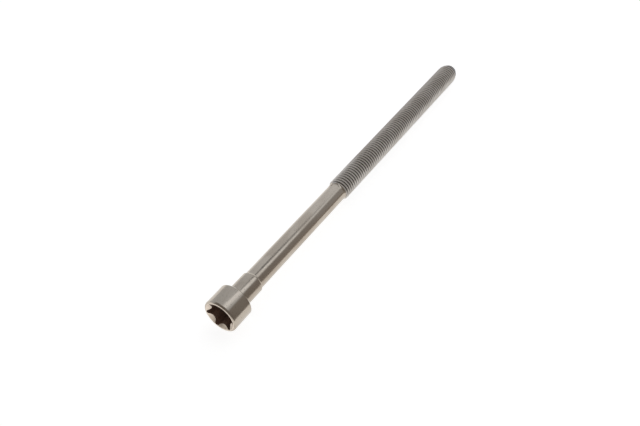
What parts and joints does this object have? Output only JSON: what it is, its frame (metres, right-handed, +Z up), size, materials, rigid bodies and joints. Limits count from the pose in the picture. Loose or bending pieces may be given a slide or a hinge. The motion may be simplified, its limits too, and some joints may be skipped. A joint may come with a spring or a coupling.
{
  "type": "cylinder head bolt",
  "caption": "Long waisted steel bolt with a cylindrical head, a six-lobed drive socket, a centring collar under the head and a coarse thread to a tapered end.",
  "frame": {"origin": "centre of the bearing face under the head, on the bolt's axis", "axes": "+X along the bolt from its head to its tip, dipping with the axis as the bolt rests on its head and its thread; +Z up from the surface that it lies on"},
  "size_m": [0.1954, 0.015, 0.0152],
  "materials": {
    "oiled_steel": "dark, lightly oiled, satin"
  },
  "bodies": {
    "root": {"bolt": "oiled_steel"}
  },
  "joints": []
}
